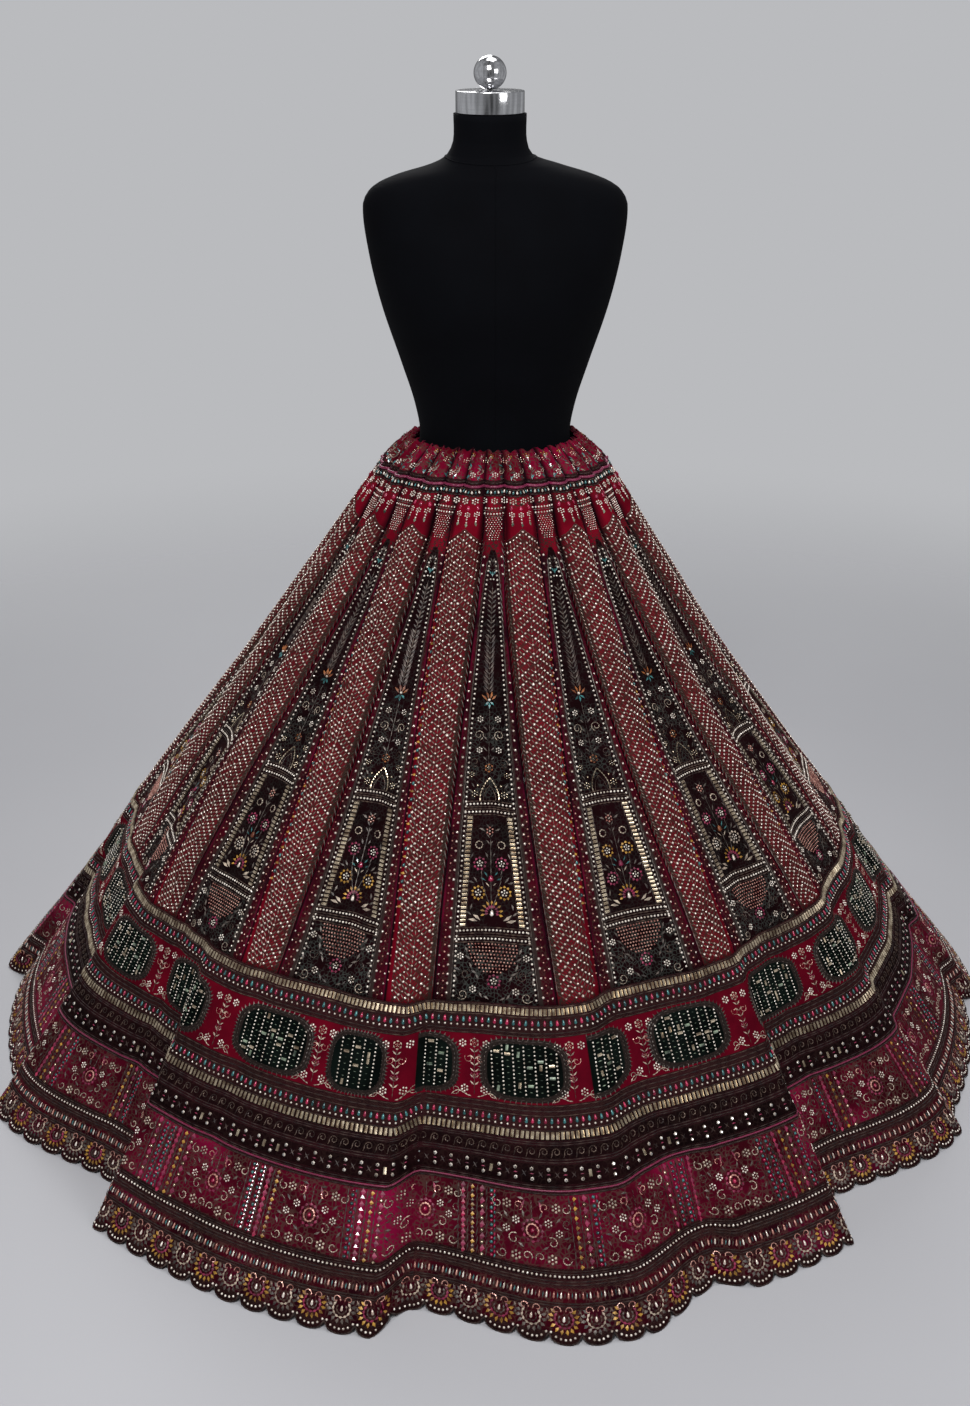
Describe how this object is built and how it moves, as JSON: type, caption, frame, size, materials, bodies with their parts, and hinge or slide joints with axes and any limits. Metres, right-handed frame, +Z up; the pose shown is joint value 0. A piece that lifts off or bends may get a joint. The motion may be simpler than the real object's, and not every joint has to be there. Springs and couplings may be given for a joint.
{
  "type": "lehenga skirt on dress form",
  "caption": "Gathered, flared velvet lehenga skirt with panelled sides, oval-medallion band and scalloped hem, on a limbless dress form with a round base.",
  "frame": {"origin": "centre of the stand base's underside, on the floor; the hem's scallops reach the same level", "axes": "+Z up, the skirt's front faces -Y, +X to the right as seen from the front"},
  "size_m": [1.5542, 1.5807, 1.3971],
  "materials": {
    "velvet_waist": "gathered crimson velvet with small embroidered flowers",
    "piping": "pink bias cord",
    "window_velvet": "dark maroon velvet with zardozi and beads",
    "chevron_velvet": "crimson velvet with metal-thread herringbone",
    "velvet_band": "crimson velvet with oval medallions",
    "embroidered_border": "dark velvet with bars, scrolls and small mirrors",
    "velvet_lower": "crimson velvet with flower squares and bead stripes",
    "scalloped_border": "scalloped and corded hem",
    "jersey": "matte black stretch jersey",
    "steel": "polished steel",
    "stand_steel": "satin steel"
  },
  "bodies": {
    "root": {"waist_casing": "velvet_waist", "waist_piping": "piping", "medallion_band": "velvet_band", "mirror_border": "embroidered_border", "lower_band": "velvet_lower", "scalloped_edging": "scalloped_border", "form_torso": "jersey", "neck_cap": "steel", "finial_ball": "steel", "stand_pole": "stand_steel", "stand_base": "stand_steel", "window_panel_01": "window_velvet", "window_panel_02": "window_velvet", "window_panel_03": "window_velvet", "window_panel_04": "window_velvet", "window_panel_05": "window_velvet", "window_panel_06": "window_velvet", "window_panel_07": "window_velvet", "window_panel_08": "window_velvet", "window_panel_09": "window_velvet", "window_panel_10": "window_velvet", "window_panel_11": "window_velvet", "window_panel_12": "window_velvet", "window_panel_13": "window_velvet", "window_panel_14": "window_velvet", "window_panel_15": "window_velvet", "window_panel_16": "window_velvet", "chevron_panel_01": "chevron_velvet", "chevron_panel_02": "chevron_velvet", "chevron_panel_03": "chevron_velvet", "chevron_panel_04": "chevron_velvet", "chevron_panel_05": "chevron_velvet", "chevron_panel_06": "chevron_velvet", "chevron_panel_07": "chevron_velvet", "chevron_panel_08": "chevron_velvet", "chevron_panel_09": "chevron_velvet", "chevron_panel_10": "chevron_velvet", "chevron_panel_11": "chevron_velvet", "chevron_panel_12": "chevron_velvet", "chevron_panel_13": "chevron_velvet", "chevron_panel_14": "chevron_velvet", "chevron_panel_15": "chevron_velvet", "chevron_panel_16": "chevron_velvet"}
  },
  "joints": []
}
